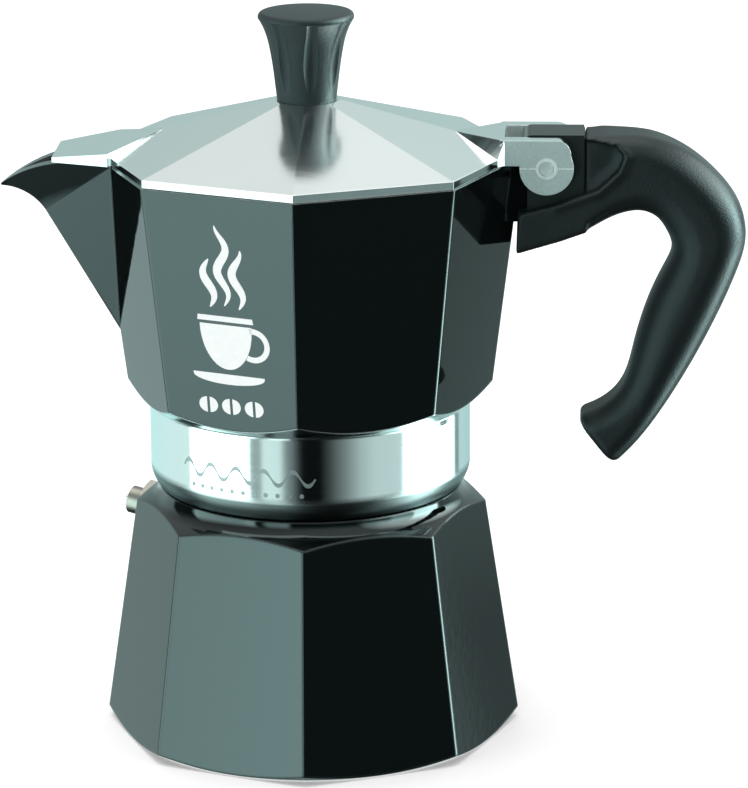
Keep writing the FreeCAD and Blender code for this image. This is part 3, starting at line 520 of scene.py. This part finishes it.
# ---- pieces that the CAD leaves out --------------------------------------------------
def add_mesh(name, points, faces, body, material, smooth=False):
    mesh = bpy.data.meshes.new(name)
    mesh.from_pydata([[c * MM for c in point] for point in points], [], faces)
    work = bmesh.new()
    work.from_mesh(mesh)
    bmesh.ops.recalc_face_normals(work, faces=work.faces)
    work.to_mesh(mesh)
    work.free()
    for face in mesh.polygons:
        face.use_smooth = smooth
    mesh.materials.append(material)
    piece = bpy.data.objects.new(name, mesh)
    bpy.context.scene.collection.objects.link(piece)
    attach(piece, body)


def raise_outlines(name, outlines, place, body, material, high, low=-0.03):
    """Thin raised shapes, from low to high over the surface that place gives."""
    points, faces = [], []
    for outline in outlines:
        start, count = len(points), len(outline)
        points += [place(u, v, high) for u, v in outline]
        points += [place(u, v, low) for u, v in outline]
        faces.append([start + k for k in range(count)])
        faces.append([start + count + k for k in reversed(range(count))])
        for k in range(count):
            after = (k + 1) % count
            faces.append((start + k, start + count + k, start + count + after, start + after))
    add_mesh(name, points, faces, body, material)


def thread(name, wall_r, crest_r, low, high, phase, body, material):
    """Rounded ridge winding up a cylinder from low to high, faded in at both ends."""
    per_turn, section, fade_steps, width = 72, 6, 9, 1.9
    count = int((high - low) / THREAD_PITCH * per_turn)
    # the ridge's feet and the middle of its back stand inside the wall
    feet_r = wall_r + (wall_r - crest_r) * 0.05
    back_r = wall_r + (wall_r - crest_r) * 0.30
    points, faces = [], []
    for k in range(count + 1):
        turn = k / per_turn
        z = low + THREAD_PITCH * turn
        fade = min(1.0, k / fade_steps, (count - k) / fade_steps)
        a = 2 * math.pi * turn + phase
        for j in range(section + 1):
            t = j / section
            r = feet_r + (crest_r - wall_r) * math.sin(math.pi * t) * fade
            points.append((math.cos(a) * r, math.sin(a) * r, z + (t - 0.5) * width))
        points.append((math.cos(a) * back_r, math.sin(a) * back_r, z))
    ring = section + 2
    for k in range(count):
        for j in range(ring):
            here, after = k * ring + j, k * ring + (j + 1) % ring
            faces.append((here, after, after + ring, here + ring))
    faces.append(tuple(range(ring)))
    faces.append(tuple(count * ring + j for j in reversed(range(ring))))
    add_mesh(name, points, faces, body, material, smooth=True)


def gap_to(x, z, a, b):
    """Distance from a point to the line between a and b."""
    dx, dz = b[0] - a[0], b[1] - a[1]
    t = ((x - a[0]) * dx + (z - a[1]) * dz) / (dx * dx + dz * dz)
    t = min(max(t, 0.0), 1.0)
    return math.hypot(x - a[0] - dx * t, z - a[1] - dz * t)


def soft_handle():
    """The CAD handle with moulded, softened edges and a raised rim round its hollow."""
    source = nodes["handle"]
    rough = bpy.data.objects.new("soft_handle_start", source.data.copy())
    bpy.context.scene.collection.objects.link(rough)
    remesh = rough.modifiers.new("remesh", "REMESH")
    remesh.mode = "VOXEL"
    remesh.voxel_size = 0.00045
    smooth = rough.modifiers.new("smooth", "SMOOTH")
    smooth.factor = 0.5
    smooth.iterations = 7
    depsgraph = bpy.context.evaluated_depsgraph_get()
    mesh = bpy.data.meshes.new_from_object(rough.evaluated_get(depsgraph))
    bpy.data.objects.remove(rough)
    # the hollow's edge, from its top round to below, as (past the bracket's end, down)
    edge = [(3.7, 1.2), (7.1, 2.0), (8.6, 4.1), (7.4, 7.3), (2.8, 11.5), (-6.2, 14.7)]
    rim_height, rim_offset, rim_spread, middle_half_w = 0.42, 0.5, 1.1, 4.0
    for vertex in mesh.vertices:
        x, y, z = (c / MM for c in vertex.co)
        past, down = x - BRACKET_END_X, BRACKET_TOP_Z - z
        if abs(y) < middle_half_w or not -12 < past < 14:
            continue
        near = min(gap_to(past, down, a, b) for a, b in zip(edge, edge[1:]))
        lift = rim_height * math.exp(-(near - rim_offset) ** 2 / rim_spread)
        vertex.co.y += math.copysign(lift * MM, y)
    for face in mesh.polygons:
        face.use_smooth = True
    mesh.materials.clear()
    mesh.materials.append(HANDLE_NYLON)
    piece = bpy.data.objects.new("soft_handle", mesh)
    bpy.context.scene.collection.objects.link(piece)
    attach(piece, "collector")
    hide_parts("handle")


def pressed_spring():
    """The valve's coil, copied from the CAD spring; how much of its length it would keep at
    full lift is worked out but not applied.
    """
    source = nodes["valve_spring"]
    piece = bpy.data.objects.new("pressed_spring", source.data.copy())
    bpy.context.scene.collection.objects.link(piece)
    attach(piece, "boiler")
    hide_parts("valve_spring")
    lift = next(j for j in frame["record"]["behaviour"]["joints"] if j["name"] == "valve_lift")
    axis = Vector(lift["axis"])
    along = [v.co.dot(axis) for v in piece.data.vertices]
    length = max(along) - min(along)
    clearance = 0.00005        # metres, meant to keep the plunger off it
    keep = (length - lift["range_m"][1] - clearance) / length
    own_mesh(piece)


soft_handle()
pressed_spring()
# painted shade: a thin dark nylon sheet over the bracket's end, darkening the seam between the
# bracket and the handle
raise_outlines("seam_shade_sheet", [rounded_box(4.4, 116.4, 132.6, 1)], on_bracket_end,
               "collector", HANDLE_NYLON, high=0.19, low=0.0)
raise_outlines("cup_print", coffee_cup(), on_facet,
               "collector", white_print(), high=0.06)
raise_outlines("collar_border", wave_border(), on_collar,
               "collector", etched_metal(), high=0.03)
thread("neck_thread", NECK_R, 31.72, 58.4, 65.6, 0.0,
       "boiler", ALUMINIUM)
thread("collar_thread", COLLAR_BORE_R, 31.78, 58.6, 66.4, math.pi,
       "collector", ALUMINIUM)


# ---- floor, light and camera ---------------------------------------------------------
# What shiny surfaces mirror round the pot: (heading in degrees, brightness). Heading 0
# is behind the camera and negative headings are on its left.
WALL_PANELS = [
    (-180, 0.55), (-155, 0.6), (-140, 1.05), (-125, 1.1), (-121, 0.05), (-99, 0.05),
    (-96, 4.6), (-57, 4.0), (-52, 4.3), (-47, 5.6), (-44, 4.6), (-41, 0.12), (-37, 0.12),
    (-33, 3.0), (-18, 3.2), (-15, 0.01), (4, 0.01), (10, 0.05), (50, 0.06), (60, 0.5),
    (64, 3.8), (76, 4.0), (81, 4.0), (84, 17.0), (107, 17.0), (110, 0.62), (140, 0.6),
    (150, 0.8), (180, 0.55)]
# the same for a low band, which the upright collar and the lid's rim mirror
BAND_PANELS = [
    (-180, 0.9), (-125, 0.95), (-99, 0.95), (-97, 0.7), (-94, 4.0), (-47, 4.0),
    (-44, 0.42), (-37, 0.40), (-34, 0.9), (-22, 0.85), (-18, 0.3), (-13, 0.18),
    (-9, 0.05), (-6, 0.004), (7, 0.004), (10, 0.03), (14, 0.07), (25, 0.25), (37, 0.54),
    (47, 0.69), (69, 0.7), (73, 4.0), (124, 4.0), (127, 0.3), (133, 0.3), (136, 0.75),
    (180, 0.6)]
BAND_LOW, BAND_HIGH = -23.0, -10.5     # degrees over the horizon
TINT_LOW = (0.74, 1.0, 0.985)
TINT_HIGH = (0.92, 1.0, 0.985)
FILL_LIGHT = 0.9                       # what matt surfaces get from everywhere


def make_floor():
    bpy.ops.mesh.primitive_plane_add(size=6, location=(0, 0, -0.0003))
    floor = bpy.context.object
    floor.name = "floor"
    m = Material("pale_floor")
    cloud = m.noise(3, 2.0)
    m.set(Base_Color=m.mix(cloud, (0.93, 0.93, 0.93), (0.95, 0.95, 0.95)), Roughness=0.9,
          Specular_IOR_Level=0.0, Emission_Color=(1.0, 1.0, 1.0), Emission_Strength=0.22)
    floor.data.materials.append(m.material)
    floor.visible_glossy = False


def mirrored_room(x, y, z):
    """Brightness that shiny surfaces see towards x, y, z, and a mask for overhead."""
    ahead = math.radians(CAMERA_AZIMUTH)
    across = x * math.cos(ahead) + y * math.sin(ahead)
    toward = x * math.sin(ahead) - y * math.cos(ahead)
    heading = across.op("ARCTAN2", toward) / (2 * math.pi) + 0.5
    rise = z.op("ARCSINE") * (180 / math.pi)

    def panels(stops):
        peak = max(value for degrees, value in stops)
        return heading.ramp([(d / 360 + 0.5, value / peak) for d, value in stops]) * peak

    band = rise.above(BAND_LOW, 3.0) * rise.below(BAND_HIGH, 3.0)
    walls = panels(WALL_PANELS)
    walls = walls + (panels(BAND_PANELS) - walls) * band
    # darker towards the ground
    walls = walls * (((rise + 50.0) / 25.0).clamp() * 0.93 + 0.07)
    ceiling = (across * 0.33 + z * 0.55 + 0.49).clamp()
    overhead = z.above(0.40, 0.30)
    # a soft lamp high on the right, seen in the handle's bend and the shoulder
    lamp = across.above(0.66, 0.24) * z.above(0.22, 0.2) * z.below(0.80, 0.2) * 6.0
    return walls + (ceiling - walls) * overhead + lamp, overhead


def make_studio():
    """White room for the camera; soft panels and dark gaps for the reflections."""
    world = bpy.data.worlds.new("studio")
    bpy.context.scene.world = world
    world.use_nodes = True
    tree = world.node_tree
    tree.nodes.clear()
    out = tree.nodes.new("ShaderNodeOutputWorld")
    place = tree.nodes.new("ShaderNodeTexCoord")
    parts = tree.nodes.new("ShaderNodeSeparateXYZ")
    tree.links.new(place.outputs["Generated"], parts.inputs[0])
    glossy, overhead = mirrored_room(*[Num(tree, o) for o in parts.outputs])
    rays = tree.nodes.new("ShaderNodeLightPath")
    camera_ray = Num(tree, rays.outputs["Is Camera Ray"])
    # the panels are left out of what bounces off the floor
    direct = Num(tree, rays.outputs["Diffuse Depth"]).below(0.5)
    mirror_ray = Num(tree, rays.outputs["Is Glossy Ray"]) * direct
    fill = camera_ray.opposite() * mirror_ray.opposite() * FILL_LIGHT
    join = tree.nodes.new("ShaderNodeCombineXYZ")
    for socket, low, high in zip(join.inputs, TINT_LOW, TINT_HIGH):
        tint = overhead * (high - low) + low
        level = camera_ray + mirror_ray * glossy * tint + fill
        tree.links.new(level.socket, socket)
    sky = tree.nodes.new("ShaderNodeBackground")
    tree.links.new(join.outputs[0], sky.inputs["Color"])
    tree.links.new(sky.outputs[0], out.inputs[0])


def make_top_light():
    """Broad lamp over the pot, a little behind it and to the left."""
    place, target = Vector((-0.1, 0.1, 1.2)), Vector((0, 0, 0.08))
    data = bpy.data.lights.new("top_panel", "AREA")
    data.energy = 6
    data.size = 1.0
    lamp = bpy.data.objects.new("top_panel", data)
    bpy.context.scene.collection.objects.link(lamp)
    lamp.location = place
    lamp.rotation_euler = (target - place).to_track_quat("-Z", "Y").to_euler()


def make_camera():
    """Long lens from a little above, slightly to the handle's side."""
    azimuth = math.radians(CAMERA_AZIMUTH)
    yaw = math.radians(0.895)
    pitch = math.radians(15.642)
    roll = math.radians(-0.381)
    distance = 0.900019
    height = 0.326303
    up = Vector((0, 0, 1))
    ahead = Vector((-math.sin(azimuth), math.cos(azimuth), 0))
    right = Vector((math.cos(azimuth), math.sin(azimuth), 0))
    forward = ahead * math.cos(yaw) + right * math.sin(yaw)
    side = right * math.cos(yaw) - ahead * math.sin(yaw)
    view = forward * math.cos(pitch) - up * math.sin(pitch)
    top = up * math.cos(pitch) + forward * math.sin(pitch)
    side_rolled = side * math.cos(roll) + top * math.sin(roll)
    top_rolled = top * math.cos(roll) - side * math.sin(roll)
    camera = bpy.data.objects.new("camera", bpy.data.cameras.new("camera"))
    bpy.context.scene.collection.objects.link(camera)
    matrix = Matrix((side_rolled, top_rolled, -view)).transposed().to_4x4()
    matrix.translation = (distance * math.sin(azimuth), -distance * math.cos(azimuth), height)
    camera.matrix_world = matrix
    camera.data.sensor_width = 36
    camera.data.sensor_fit = "AUTO"
    camera.data.lens = 194.306
    camera.data.clip_start = 0.01
    bpy.context.scene.camera = camera


make_floor()
make_studio()
make_camera()
make_top_light()
bpy.context.scene.view_settings.view_transform = "Standard"
